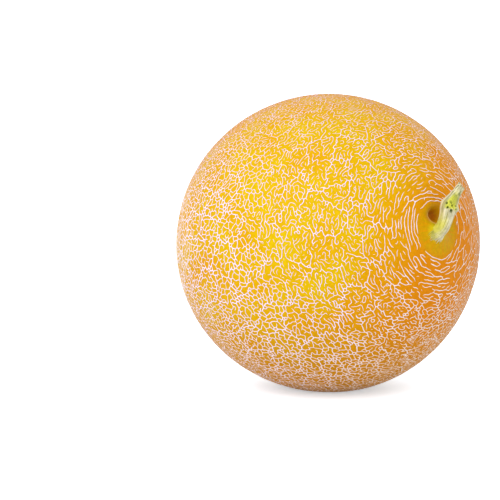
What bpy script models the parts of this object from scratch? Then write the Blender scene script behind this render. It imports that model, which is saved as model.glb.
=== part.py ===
"""Netted melon lying on its side, with the torn stub of its stem.

The fruit is one grown solid: a nearly round body with a raised cork net all over it, a bare patch with
a hollow and a pit at the stem end, a small button at the blossom end and a flat spot where it rests.
The stem stub is the second solid, set in a shallow socket in the bare patch.

Metres, +Z up. The origin is the middle of the rest spot, and the stem end points along +X, a little up.
In the fruit's own frame z runs out of the stem end and x points down the outside of it.
"""

import math

import bmesh
import bpy
import numpy as np
from mathutils import Matrix, Vector
from mathutils.geometry import delaunay_2d_cdt

# Fruit
FRUIT_LENGTH = 0.155
FRUIT_DIAMETER = 0.150
STEM_END_LIFT = math.radians(10)
REST_SPOT_RADIUS = 0.012
BULGE = 0.0003
BULGES_ROUND = 3

# Net: raised lines between cells, drawn larger than life
NET_RISE = 0.0009
NET_HALF_WIDTH = 0.0011
WIDEST_RIM = 0.42
CELL_SPACING = 0.0087
CELL_SEED = 11
DARTS = 24000
WORN_SHARE = 0.12
WORN_RISE = 0.25
REST_FADE = 0.008

# Round the stem the lines close up into rings
RING_STRETCH = 2.8
RING_FULL = math.radians(18)
RING_END = math.radians(42)
BARE_RADIUS = 0.0145
BARE_RING_CELLS = 8
BARE_RING_GAP = 0.0027
BLOSSOM_RING_CELLS = 6
BLOSSOM_RING_RADIUS = 0.0088

# Stem end of the fruit: hollow, mound under the stem, pit beside it, socket
HOLLOW_DEPTH = 0.0020
HOLLOW_RADIUS = 0.017
MOUND_HEIGHT = 0.0028
MOUND_RADIUS = 0.0065
PIT_DEPTH = 0.0045
PIT_PLACE = (-0.0080, 0.0024)
PIT_RADIUS = (0.0034, 0.0042)
SOCKET_RADIUS = 0.0057
SOCKET_DEPTH = 0.0016
CAP_RADII = (0.0134, 0.0119, 0.0103, 0.0088, 0.0074, 0.0063)

# Button left by the flower
BUTTON_RADII = (0.0036, 0.0029, 0.0014)
BUTTON_RISES = (0.0, 0.0008, 0.0005)

# Stem stub: places along it as out of the fruit, up its outside, sideways, and radius
STEM_FOOT = (-0.0020, 0.0003)
STEM_GAP = 0.0004
STEM_SIDES = 28
STEM_STEPS = 4
STEM_ROUTE = (
    (0.0016, -0.0019, 0.0003, 0.0049),
    (0.0030, 0.0004, 0.0005, 0.0043),
    (0.0042, 0.0035, 0.0009, 0.0038),
    (0.0050, 0.0068, 0.0014, 0.0037),
    (0.0058, 0.0108, 0.0022, 0.0044),
    (0.0069, 0.0134, 0.0031, 0.0034),
    (0.0086, 0.0162, 0.0045, 0.0023),
    (0.0108, 0.0197, 0.0067, 0.0020),
)
STEM_RIBS = 7
STEM_RIB_DEPTH = 0.07
STEM_TEAR_DEPTH = 0.22
STEM_TEAR_FROM = 0.55
STEM_TIP_SLANT = 0.0012

# Surfaces: red, green, blue as on a colour chart, and roughness
SKIN_LOOK = ((0.96, 0.72, 0.06), 0.38)
NET_LOOK = ((0.93, 0.82, 0.72), 0.75)
STEM_LOOK = ((0.80, 0.78, 0.50), 0.70)

SKIN_HALF_LENGTH = FRUIT_LENGTH / 2 - NET_RISE
SKIN_RADIUS = FRUIT_DIAMETER / 2 - NET_RISE
BARE_ANGLE = math.asin(BARE_RADIUS / SKIN_RADIUS)


def fruit_matrix():
    """Where the fruit's own frame stands: its middle over the rest spot, its stem end lifted."""
    long, wide = SKIN_HALF_LENGTH, SKIN_RADIUS
    low = math.hypot(wide * math.cos(STEM_END_LIFT), long * math.sin(STEM_END_LIFT))
    share = math.sqrt(1 - (REST_SPOT_RADIUS / wide) ** 2)
    lean = (long**2 - wide**2) * math.sin(STEM_END_LIFT) * math.cos(STEM_END_LIFT) / low
    turn = Matrix.Rotation(math.pi / 2 - STEM_END_LIFT, 4, "Y")
    return Matrix.Translation((lean * share, 0, low * share)) @ turn


FRUIT_MATRIX = fruit_matrix()
REST_POINT = FRUIT_MATRIX.inverted() @ Vector((0, 0, 0))
REST_DOWN = FRUIT_MATRIX.to_3x3().transposed() @ Vector((0, 0, -1))


def clear_scene():
    for obj in list(bpy.data.objects):
        bpy.data.objects.remove(obj, do_unlink=True)


def new_material(name, look):
    chart_colour, roughness = look
    material = bpy.data.materials.new(name)
    material.use_nodes = True
    shader = material.node_tree.nodes["Principled BSDF"]
    linear = [value**2.2 for value in chart_colour]
    shader.inputs["Base Color"].default_value = (*linear, 1)
    shader.inputs["Roughness"].default_value = roughness
    shader.inputs["Metallic"].default_value = 0
    material.diffuse_color = (*linear, 1)
    return material


def new_object(name, bm, materials, collection, parent):
    mesh = bpy.data.meshes.new(name)
    bm.to_mesh(mesh)
    bm.free()
    for material in materials:
        mesh.materials.append(material)
    obj = bpy.data.objects.new(name, mesh)
    collection.objects.link(obj)
    obj.parent = parent
    return obj


def direction(angle, turn):
    """Unit vector at an angle from the stem end, turned round the fruit's axis."""
    return Vector((math.sin(angle) * math.cos(turn), math.sin(angle) * math.sin(turn), math.cos(angle)))


def skin_direction(point):
    """The direction whose skin point lies under this point."""
    return Vector((point.x / SKIN_RADIUS, point.y / SKIN_RADIUS, point.z / SKIN_HALF_LENGTH)).normalized()


def stem_end_height(x, y):
    """How far the skin stands out of its round form at a place at the stem end."""
    hollow = -HOLLOW_DEPTH * math.exp(-(math.hypot(x, y) / HOLLOW_RADIUS) ** 2)
    foot_x, foot_y = -STEM_FOOT[0], STEM_FOOT[1]
    mound = MOUND_HEIGHT * math.exp(-(math.hypot(x - foot_x, y - foot_y) / MOUND_RADIUS) ** 2)
    reach = math.hypot((x - PIT_PLACE[0]) / PIT_RADIUS[0], (y - PIT_PLACE[1]) / PIT_RADIUS[1])
    pit = -PIT_DEPTH * math.exp(-(reach**4) / 2)
    return hollow + mound + pit


def skin_point(way):
    """The point of the bare skin in a direction, in the fruit's own frame."""
    turn = math.atan2(way.y, way.x)
    bulge = BULGE * (1 - way.z**2) * math.sin(BULGES_ROUND * turn + 2 * way.z)
    wide = SKIN_RADIUS + bulge
    point = Vector((wide * way.x, wide * way.y, SKIN_HALF_LENGTH * way.z))
    if way.z > 0:
        point.z += stem_end_height(point.x, point.y)
    return point


def skin_normal(way):
    return Vector((way.x / SKIN_RADIUS, way.y / SKIN_RADIUS, way.z / SKIN_HALF_LENGTH)).normalized()


def ring_stretch(angle):
    """How much longer a cell is round the stem than towards it, at an angle from the stem end."""
    fade = np.clip((angle - RING_FULL) / (RING_END - RING_FULL), 0, 1)
    return 1 + (RING_STRETCH - 1) * (0.5 + 0.5 * np.cos(np.pi * fade))


def chart_scale():
    """Angles from the stem end, and the log radius of each on a flat chart that evens out the cells."""
    angles = np.linspace(0.01, math.pi - 0.01, 3000)
    slope = ring_stretch(angles) / np.sin(angles)
    steps = (slope[1:] + slope[:-1]) / 2 * np.diff(angles)
    return angles, np.concatenate([[0.0], np.cumsum(steps)])


def ring_of_seeds(radius, count, from_angle, shift):
    angle = abs(from_angle - math.asin(radius / SKIN_RADIUS))
    return [(angle, 2 * math.pi * (k + shift) / count) for k in range(count)]


def cell_seeds():
    """Middles of the net's cells as angle and turn: two rings round the bare patch, one round the
    blossom end, and darts thrown at the rest, each kept if it lands clear of all before it."""
    rng = np.random.default_rng(CELL_SEED)
    seeds = ring_of_seeds(BARE_RADIUS - BARE_RING_GAP, BARE_RING_CELLS, 0, 0.0)
    seeds += ring_of_seeds(BARE_RADIUS + BARE_RING_GAP, BARE_RING_CELLS, 0, 0.5)
    seeds += ring_of_seeds(BLOSSOM_RING_RADIUS, BLOSSOM_RING_CELLS, math.pi, 0.0)
    spacing = CELL_SPACING / ((SKIN_RADIUS + SKIN_HALF_LENGTH) / 2)
    inner = BARE_ANGLE + 0.6 * spacing / math.sqrt(RING_STRETCH)
    outer = math.pi - BLOSSOM_RING_RADIUS / SKIN_RADIUS
    angles = np.array([seed[0] for seed in seeds])
    turns = np.array([seed[1] for seed in seeds])
    for dart in range(DARTS):
        angle = math.acos(rng.uniform(-1, 1))
        turn = rng.uniform(0, 2 * math.pi)
        if not inner < angle < outer:
            continue
        cosine = np.cos(angles) * math.cos(angle)
        cosine += np.sin(angles) * math.sin(angle) * np.cos(turns - turn)
        apart = np.arccos(np.clip(cosine, -1, 1))
        along = angles - angle
        around = np.maximum(apart**2 - along**2, 0)
        stretch = float(ring_stretch(angle))
        if np.min(along**2 * stretch + around / stretch) > spacing**2:
            angles = np.append(angles, angle)
            turns = np.append(turns, turn)
    return angles, turns


def net_cells():
    """A closed mesh of directions with one face for each cell of the net."""
    angles, turns = cell_seeds()
    scale_angles, scale_logs = chart_scale()
    radii = np.exp(np.interp(angles, scale_angles, scale_logs) - scale_logs[len(scale_logs) // 2])
    chart = [Vector((r * math.cos(t), r * math.sin(t))) for r, t in zip(radii, turns)]
    chart.append(Vector((0, 0)))
    ways = [direction(a, t) for a, t in zip(angles, turns)]
    ways.append(Vector((0, 0, 1)))
    _, _, triangles, sources, _, _ = delaunay_2d_cdt(chart, [], [], 0, 1e-12)
    bm = bmesh.new()
    seeds = [bm.verts.new(way) for way in ways]
    for corners in triangles:
        bm.faces.new([seeds[sources[corner][0]] for corner in corners])
    blossom = bm.verts.new((0, 0, -1))
    for edge in [edge for edge in bm.edges if edge.is_boundary]:
        bm.faces.new((edge.verts[0], edge.verts[1], blossom))
    seeds.append(blossom)
    bmesh.ops.recalc_face_normals(bm, faces=bm.faces)
    between = list(bm.edges)
    bmesh.ops.poke(bm, faces=bm.faces[:])
    bmesh.ops.rotate_edges(bm, edges=between)
    bmesh.ops.dissolve_verts(bm, verts=seeds)
    for vert in bm.verts:
        vert.co.normalize()
    return bm


def open_bare_patch(bm):
    """Joins the cells round the stem end into one face with a round edge, and returns it."""
    limit = math.cos(BARE_ANGLE)
    inner = [face for face in bm.faces if face.calc_center_median().normalized().z > limit]
    patch = bmesh.ops.dissolve_faces(bm, faces=inner)["region"][0]
    bmesh.ops.subdivide_edges(bm, edges=patch.edges[:], cuts=1)
    patch = max(bm.faces, key=lambda face: len(face.verts))
    for vert in patch.verts:
        vert.co = direction(BARE_ANGLE, math.atan2(vert.co.y, vert.co.x))
    return patch


def raise_net(bm, patch, rng):
    """Turns each cell into a floor with rims that slope up to the lines between the cells."""
    cells = [face for face in bm.faces if face is not patch]
    lines = {vert: skin_direction(vert.co) for vert in bm.verts}
    for cell in cells:
        middle = cell.calc_center_median()
        reach = min((middle - (e.verts[0].co + e.verts[1].co) / 2).length for e in cell.edges)
        width = min(NET_HALF_WIDTH, WIDEST_RIM * reach)
        rims = bmesh.ops.inset_individual(bm, faces=[cell], thickness=width, use_even_offset=True)
        for rim in rims["faces"]:
            rim.material_index = 1
        for vert in cell.verts:
            vert.co = skin_point(skin_direction(vert.co))
    patch_edge = set(patch.verts)
    for vert, way in lines.items():
        rise = NET_RISE
        if vert not in patch_edge and rng.uniform() < WORN_SHARE:
            rise *= WORN_RISE
        ground = (vert.co - REST_POINT).length
        rise *= min(max((ground - REST_SPOT_RADIUS) / REST_FADE, 0), 1)
        vert.co += skin_normal(way) * rise


def grow_face(bm, face, keep=False):
    """Extrudes one face and returns the new one. The old one goes, unless it closes the other end."""
    grown = bmesh.ops.extrude_face_region(bm, geom=[face])["geom"]
    if not keep:
        bmesh.ops.delete(bm, geom=[face], context="FACES_ONLY")
    return next(item for item in grown if isinstance(item, bmesh.types.BMFace))


def sink_rings(bm, face, radii, places, drop):
    """Extrudes a face into rings inside it, and moves each ring to the height that drop gives."""
    turns = [math.atan2(vert.co.y, vert.co.x) for vert in face.verts]
    for radius, place in zip(radii, places):
        face = grow_face(bm, face)
        for vert, turn in zip(face.verts, turns):
            x = place[0] + radius * math.cos(turn)
            y = place[1] + radius * math.sin(turn)
            vert.co = (x, y, drop(x, y))
    return face


def body_height(x, y):
    """Height of the round body over a place at either end, in the fruit's own frame."""
    inside = 1 - (x**2 + y**2) / SKIN_RADIUS**2
    return SKIN_HALF_LENGTH * math.sqrt(inside)


def shape_stem_end(bm, patch):
    """Rings down the bare patch, closing in on the socket that holds the stem."""
    foot = (-STEM_FOOT[0], STEM_FOOT[1])
    shares = [(BARE_RADIUS - radius) / (BARE_RADIUS - SOCKET_RADIUS) for radius in CAP_RADII]
    places = [(foot[0] * share, foot[1] * share) for share in shares]

    def skin(x, y):
        return body_height(x, y) + stem_end_height(x, y)

    floor = skin(*foot) - SOCKET_DEPTH
    rim = sink_rings(bm, patch, CAP_RADII, places, skin)
    sink_rings(bm, rim, (SOCKET_RADIUS,), (foot,), lambda x, y: floor)


def blossom_cell(bm):
    low = [face for face in bm.faces if face.calc_center_median().z < 0]
    return min(low, key=lambda face: face.calc_center_median().xy.length)


def shape_blossom_end(bm):
    """A low round button in the cell at the far end from the stem."""
    bmesh.ops.subdivide_edges(bm, edges=blossom_cell(bm).edges[:], cuts=1)
    cell = blossom_cell(bm)
    for radius, rise in zip(BUTTON_RADII, BUTTON_RISES):
        cell = sink_rings(bm, cell, (radius,), ((0, 0),), lambda x, y: -body_height(x, y) - rise)


def cut_rest_spot(bm):
    """Slices the fruit off at the surface it rests on, and closes the cut with one flat face."""
    snap = 0.0003
    for vert in bm.verts:
        depth = (vert.co - REST_POINT).dot(REST_DOWN)
        if abs(depth) < snap:
            vert.co -= REST_DOWN * depth
    everything = bm.verts[:] + bm.edges[:] + bm.faces[:]
    bmesh.ops.bisect_plane(
        bm, geom=everything, dist=1e-6, plane_co=REST_POINT, plane_no=REST_DOWN, clear_outer=True
    )
    bmesh.ops.holes_fill(bm, edges=[edge for edge in bm.edges if edge.is_boundary])


def make_fruit(collection, parent):
    bm = net_cells()
    patch = open_bare_patch(bm)
    for vert in bm.verts:
        vert.co = skin_point(vert.co)
    raise_net(bm, patch, np.random.default_rng(CELL_SEED))
    shape_stem_end(bm, patch)
    shape_blossom_end(bm)
    cut_rest_spot(bm)
    bmesh.ops.recalc_face_normals(bm, faces=bm.faces)
    looks = [new_material("rind", SKIN_LOOK), new_material("rind_net", NET_LOOK)]
    return new_object("fruit", bm, looks, collection, parent)


def route_point(share):
    """Place and radius at a share of the stem's length, on a smooth line through its route."""
    route = np.array(STEM_ROUTE)
    at = share * (len(route) - 1)
    k = min(int(at), len(route) - 2)
    t = at - k
    before = route[max(k - 1, 0)]
    after = route[min(k + 2, len(route) - 1)]
    a, b = route[k], route[k + 1]
    smooth = 2 * a + (b - before) * t
    smooth = smooth + (2 * before - 5 * a + 4 * b - after) * t**2
    smooth = smooth + (3 * a - before - 3 * b + after) * t**3
    out, up, side, radius = smooth / 2
    return Vector((-up, side, SKIN_HALF_LENGTH + out)), radius


def stem_ring(face, middle, along, across, radius, share):
    """Moves a face's corners to a ribbed section of the stem."""
    beside = along.cross(across).normalized()
    across = beside.cross(along).normalized()
    for k, vert in enumerate(face.verts):
        turn = 2 * math.pi * k / len(face.verts)
        ribbed = radius * (1 + STEM_RIB_DEPTH * math.cos(STEM_RIBS * turn + 1.5 * share))
        torn = max(share - STEM_TEAR_FROM, 0) / (1 - STEM_TEAR_FROM)
        ribbed *= 1 - STEM_TEAR_DEPTH * torn * (0.5 + 0.5 * math.cos(2 * turn))
        vert.co = middle + across * ribbed * math.cos(turn) + beside * ribbed * math.sin(turn)
        vert.co += along * STEM_TIP_SLANT * torn**2 * math.cos(turn + 1)


def make_stem(collection, parent):
    """A ribbed stub that bends over beside the pit, swells at a knob and ends torn off."""
    bm = bmesh.new()
    bmesh.ops.create_circle(bm, cap_ends=True, segments=STEM_SIDES, radius=SOCKET_RADIUS)
    foot_x, foot_y = -STEM_FOOT[0], STEM_FOOT[1]
    floor = body_height(foot_x, foot_y) + stem_end_height(foot_x, foot_y) - SOCKET_DEPTH + STEM_GAP
    foot = Vector((foot_x, foot_y, floor))
    plug = SOCKET_RADIUS - STEM_GAP
    steps = STEM_STEPS * (len(STEM_ROUTE) - 1)
    stations = [(foot, plug), (foot + Vector((0, 0, SOCKET_DEPTH)), plug)]
    stations += [route_point(step / steps) for step in range(steps + 1)]
    across = Vector((STEM_ROUTE[-1][2], STEM_ROUTE[-1][1], 0)).normalized()
    face = bm.faces[:][0]
    for k, (middle, radius) in enumerate(stations):
        if k:
            face = grow_face(bm, face, keep=k == 1)
        ahead = stations[min(k + 1, len(stations) - 1)][0]
        behind = stations[max(k - 1, 0)][0]
        share = max(k - 2, 0) / steps
        stem_ring(face, middle, (ahead - behind).normalized(), across, radius, share)
    bmesh.ops.recalc_face_normals(bm, faces=bm.faces)
    return new_object("stem", bm, [new_material("stem_bark", STEM_LOOK)], collection, parent)


def main():
    clear_scene()
    collection = bpy.data.collections.new("netted_melon")
    bpy.context.scene.collection.children.link(collection)
    middle = bpy.data.objects.new("fruit_middle", None)
    middle.empty_display_size = FRUIT_DIAMETER / 2
    middle.matrix_world = FRUIT_MATRIX
    collection.objects.link(middle)
    make_fruit(collection, middle)
    make_stem(collection, middle)
    bpy.context.view_layer.update()


main()
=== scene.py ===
"""Netted melon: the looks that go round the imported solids.

The skin is one closed mesh, the cork net is five closed meshes of raised lines laid over it, and the
stem is a fibrous stub with its torn core and loose shreds of bark. Metres, +Z up, in the solids' frame.
In the fruit's own frame z runs out of the stem end and x points down the outside of it.
"""

import math

import bpy
import numpy as np
from bpy.props import FloatProperty, FloatVectorProperty, IntProperty, PointerProperty
from mathutils import Matrix, Vector, kdtree, noise
from mathutils.geometry import delaunay_2d_cdt


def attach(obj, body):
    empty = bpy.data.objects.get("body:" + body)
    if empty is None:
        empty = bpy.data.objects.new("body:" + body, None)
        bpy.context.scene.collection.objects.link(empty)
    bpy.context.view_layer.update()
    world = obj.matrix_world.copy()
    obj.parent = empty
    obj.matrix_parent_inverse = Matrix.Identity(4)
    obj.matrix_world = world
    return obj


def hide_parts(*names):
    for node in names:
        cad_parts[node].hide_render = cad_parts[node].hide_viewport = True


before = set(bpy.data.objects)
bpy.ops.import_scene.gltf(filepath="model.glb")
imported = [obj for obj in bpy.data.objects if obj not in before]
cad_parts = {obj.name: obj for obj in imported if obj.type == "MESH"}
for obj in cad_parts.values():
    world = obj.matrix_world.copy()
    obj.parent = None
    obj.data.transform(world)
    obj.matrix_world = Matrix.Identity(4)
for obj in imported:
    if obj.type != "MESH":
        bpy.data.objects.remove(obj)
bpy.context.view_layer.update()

bl_info = {
    "name": "Netted melon",
    "version": (1, 0, 0),
    "blender": (4, 5, 0),
    "location": "3D View > Sidebar > Melon",
    "description": "Skin, cork net and stem of a netted melon, with a plain studio",
    "category": "Add Mesh",
}


def length_property(name, description, default):
    return FloatProperty(name=name, description=description, default=default, unit="LENGTH")


def colour_property(name, description, default):
    return FloatVectorProperty(name=name, description=description, default=default, subtype="COLOR",
                               size=3, min=0, max=1)


class MelonSizes(bpy.types.PropertyGroup):
    """Sizes of the fruit and its net, and where the camera stands."""

    length: length_property("Length", "From blossom end to stem end", 0.155)
    diameter: length_property("Diameter", "Across the fruit, over the net", 0.150)
    lift: FloatProperty(name="Lift", description="How far the stem end is raised",
                        default=math.radians(10), unit="ROTATION")
    rest_radius: length_property("Rest spot", "Radius of the flat spot it rests on", 0.012)
    line_gap: length_property("Line gap", "Least distance between the middles of net cells", 0.00122)
    line_rise: length_property("Line rise", "Height of the main net lines over the skin", 0.00015)
    fine_rise: length_property("Fine line rise", "Height of the fine net lines over the skin", 0.00011)
    line_width: length_property("Line width", "Plain width of the main net lines", 0.00051)
    fine_width: length_property("Fine line width", "Plain width of the fine net lines", 0.00037)
    cell_gap: length_property("Closed cell size", "Least distance between closed net cells", 0.00205)
    patch_gap: length_property("Patch size", "Least distance between patches of fine cells", 0.0095)
    bare_radius: length_property("Bare patch", "Radius of the bare skin round the stem", 0.0145)
    camera_distance: length_property("Camera distance", "From the camera to the fruit's middle", 1.6)
    seed: IntProperty(name="Seed", description="Start of the random draws", default=5)


class MelonColours(bpy.types.PropertyGroup):
    """Colours of the skin, the net, the stem and the floor, as linear light."""

    gold: colour_property("Gold", "Skin on the upper side", (0.745, 0.455, 0.0005))
    # Orange is the skin's own warmer colour towards the stem, and also painted shade on the side turned away
    # from the key light
    orange: colour_property("Orange", "Skin towards the stem and the ground", (0.745, 0.262, 0.0005))
    # Lemon is painted light: paler yellow on the skin that faces the key light and the camera
    lit_lemon: colour_property("Lemon", "Skin where the sun fell most", (0.755, 0.575, 0.0005))
    # Underside shade is painted shade: darker orange on the skin that faces down
    underside_shade: colour_property("Earth", "Skin that faced the ground", (0.60, 0.262, 0.0010))
    olive: colour_property("Olive", "Bare skin next to the stem", (0.63, 0.372, 0.0005))
    # Pit is painted shade: dark orange-brown in the hollow by the stem and a little past its rim
    pit: colour_property("Pit", "Depth of the pit by the stem", (0.44, 0.145, 0.0012))
    fold: colour_property("Fold", "Thin fold along the rim of the pit", (0.80, 0.500, 0.220))
    scar: colour_property("Scar", "Corky scar at the blossom end", (0.50, 0.33, 0.13))
    cream: colour_property("Cream", "Top of the net lines", (0.95, 0.84, 0.95))
    # Ivory darkens the line tops towards the stem, and as painted shade on the side turned away from the key
    # light
    ivory: colour_property("Ivory", "Top of the lines towards the stem and the ground", (0.95, 0.82, 0.77))
    # Tan is the lines' own browner flanks, and also painted shade at their feet
    tan: colour_property("Tan", "Sides of the net lines", (0.62, 0.26, 0.006))
    # Buff is painted light on the line sides that face the key light, and painted shade on the line tops
    # underneath
    buff: colour_property("Buff", "Sides of the net lines far from the stem", (0.91, 0.70, 0.42))
    bark: colour_property("Bark", "Dry bark of the stem", (0.83, 0.76, 0.53))
    groove: colour_property("Groove", "Grooves of the stem's bark", (0.46, 0.41, 0.16))
    lime: colour_property("Lime", "Green foot of the stem", (0.60, 0.56, 0.015))
    core: colour_property("Core", "Torn core of the stem", (0.66, 0.67, 0.030))
    # Dark is painted shade: near-black in the holes of the torn stem and at spots of its frayed tip
    dark: colour_property("Dark", "Holes in the torn stem", (0.090, 0.125, 0.010))
    floor: colour_property("Floor", "Studio floor", (0.80, 0.84, 0.90))


# Shared sums

def smoothstep(low, high, value):
    share = np.clip((value - low) / (high - low), 0, 1)
    return share * share * (3 - 2 * share)


def fade(low, high, value):
    """1 below the range, falling smoothly to 0 above it."""
    return 1 - smoothstep(low, high, value)


def hill(value):
    """1 at 0, falling smoothly to 0 on both sides."""
    return np.exp(-(value**2))


def unit(rows):
    return rows / np.linalg.norm(rows, axis=1)[:, None]


def unit_ways(angle, turn):
    """Unit directions at angles from the stem end and turns round it."""
    return np.column_stack([np.sin(angle) * np.cos(turn), np.sin(angle) * np.sin(turn), np.cos(angle)])


def stem_angle(ways):
    """Angle of each direction from the stem end."""
    return np.arctan2(np.hypot(ways[:, 0], ways[:, 1]), ways[:, 2])


def apart(x, y, place):
    return np.hypot(x - place[0], y - place[1])


def rough_noise(points, seed, scale=1.0):
    """Soft noise from -1 to 1 at each point."""
    shift = Vector((seed * 7.3, seed * 3.1, seed * 5.7))
    return np.array([noise.noise(Vector(point) / scale + shift) for point in points])


# The fruit's round form and where it stands

CAD_NET_RISE = 0.0009
BULGE = 0.0003
BULGES_ROUND = 3
HOLLOW_DEPTH = 0.0020
HOLLOW_RADIUS = 0.017
MOUND_HEIGHT = 0.0028
MOUND_RADIUS = 0.0065
STEM_FOOT = (0.0020, 0.0003)
PIT_DEPTH = 0.0045
PIT_WALL = 1.6
PIT_PLACE = (-0.0072, 0.0004)
PIT_RADIUS = (0.0040, 0.0044)
PIT_TOP = 1.3
LIP_HEIGHT = 0.0006
LIP_REACH = 1.10
LIP_WIDTH = 0.09
LIP_TURN = math.radians(-72)
LIP_FADE = 0.4
WEB_HEIGHT = 0.0018
WEB_PLACE = (0.0006, -0.0026)
WEB_RADIUS = 0.0046
BUTTON_RADIUS = 0.0040
BUTTON_RISE = 0.0009


class Body:
    """The fruit's form without its net: half sizes of the skin, its frame and its surface."""

    def __init__(self, sizes):
        self.radius = sizes.diameter / 2 - sizes.line_rise
        self.half = sizes.length / 2 - sizes.line_rise
        self.radii = np.array([self.radius, self.radius, self.half])
        wide = sizes.diameter / 2 - CAD_NET_RISE
        long = sizes.length / 2 - CAD_NET_RISE
        low = math.hypot(wide * math.cos(sizes.lift), long * math.sin(sizes.lift))
        share = math.sqrt(1 - (sizes.rest_radius / wide) ** 2)
        lean = (long**2 - wide**2) * math.sin(sizes.lift) * math.cos(sizes.lift) / low
        turn = Matrix.Rotation(math.pi / 2 - sizes.lift, 4, "Y")
        self.matrix = Matrix.Translation((lean * share, 0, low * share)) @ turn
        self.turn = np.array(turn.to_3x3())
        self.middle = np.array(self.matrix.translation)
        self.bare_angle = math.asin(sizes.bare_radius / self.radius)

    def to_world(self, points):
        return points @ self.turn.T + self.middle

    def pit_reach(self, x, y):
        """Distance from the pit's middle in its radii, and how squarely the place faces the fold."""
        across, down = y - PIT_PLACE[1], x - PIT_PLACE[0]
        down = np.where(down < 0, PIT_TOP * down, down)
        reach = np.hypot(down / PIT_RADIUS[0], across / PIT_RADIUS[1])
        facing = np.maximum(np.cos(np.arctan2(across, down) - LIP_TURN), 0) ** LIP_FADE
        return reach, facing

    def fold(self, x, y):
        reach, facing = self.pit_reach(x, y)
        return facing * hill((reach - LIP_REACH) / LIP_WIDTH)

    def relief(self, x, y):
        """How far the skin stands out of its round form at a place at the stem end."""
        height = -HOLLOW_DEPTH * hill(np.hypot(x, y) / HOLLOW_RADIUS)
        height += MOUND_HEIGHT * hill(apart(x, y, STEM_FOOT) / MOUND_RADIUS)
        height += WEB_HEIGHT * hill(apart(x, y, WEB_PLACE) / WEB_RADIUS)
        reach, _ = self.pit_reach(x, y)
        height -= PIT_DEPTH * np.exp(-(reach**3) / PIT_WALL)
        return height + LIP_HEIGHT * self.fold(x, y)

    def skin(self, ways):
        """Points of the bare skin in the world, one for each unit direction in the fruit's frame."""
        turn = np.arctan2(ways[:, 1], ways[:, 0])
        bulge = BULGE * (1 - ways[:, 2] ** 2) * np.sin(BULGES_ROUND * turn + 2 * ways[:, 2])
        points = ways * (self.radii + np.outer(bulge, [1, 1, 0]))
        stem_side = points[:, 2] > 0
        points[stem_side, 2] += self.relief(points[stem_side, 0], points[stem_side, 1])
        button = np.exp(-((np.hypot(points[:, 0], points[:, 1]) / BUTTON_RADIUS) ** 4))
        points[~stem_side, 2] -= BUTTON_RISE * button[~stem_side]
        world = self.to_world(points)
        world[:, 2] = np.maximum(world[:, 2], 0)
        return world

    def normals(self, ways):
        """Outward directions of the round form, in the world."""
        return unit(ways / self.radii) @ self.turn.T

    def normals_at(self, points):
        """Outward directions of the round form near points of the world."""
        return self.normals(unit((points - self.middle) @ self.turn / self.radii))


# Meshes

def deselect_all():
    for obj in bpy.context.selected_objects:
        obj.select_set(False)


def add_ball(name, segments, rings):
    """Adds a ball, and returns it with each point's level, from 0 at the top to 1, and turn."""
    deselect_all()
    bpy.ops.mesh.primitive_uv_sphere_add(segments=segments, ring_count=rings, radius=1)
    ball = bpy.context.object
    ball.name = name
    points = np.empty(len(ball.data.vertices) * 3)
    ball.data.vertices.foreach_get("co", points)
    points = points.reshape(-1, 3)
    return ball, np.arccos(np.clip(points[:, 2], -1, 1)) / math.pi, np.arctan2(points[:, 1], points[:, 0])


def write_points(mesh, points):
    mesh.vertices.foreach_set("co", np.asarray(points, np.float32).ravel())
    mesh.update()


def add_piece(name, vertices, quads, triangles, material):
    """Adds an object with faces of four and of three corners."""
    mesh = bpy.data.meshes.new(name)
    mesh.vertices.add(len(vertices))
    mesh.vertices.foreach_set("co", np.asarray(vertices, np.float32).ravel())
    mesh.loops.add(quads.size + triangles.size)
    corners = np.concatenate([quads.ravel(), triangles.ravel()])
    mesh.loops.foreach_set("vertex_index", corners.astype(np.int32))
    mesh.polygons.add(len(quads) + len(triangles))
    starts = np.concatenate([np.arange(len(quads)) * 4, quads.size + np.arange(len(triangles)) * 3])
    mesh.polygons.foreach_set("loop_start", starts.astype(np.int32))
    mesh.update(calc_edges=True)
    mesh.validate()
    mesh.materials.append(material)
    mesh.shade_smooth()
    piece = bpy.data.objects.new(name, mesh)
    bpy.context.scene.collection.objects.link(piece)
    return piece


def paint(mesh, **masks):
    """Stores numbers for each point of a mesh, under the names that its material reads."""
    for name, values in masks.items():
        layer = mesh.attributes.new(name, "FLOAT", "POINT")
        layer.data.foreach_set("value", np.asarray(values, np.float32))


# Node helpers and the shared group

NOISE_RANGE = (0.3, 0.7)
NET_SIDES = (0.93, 1.0)


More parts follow.
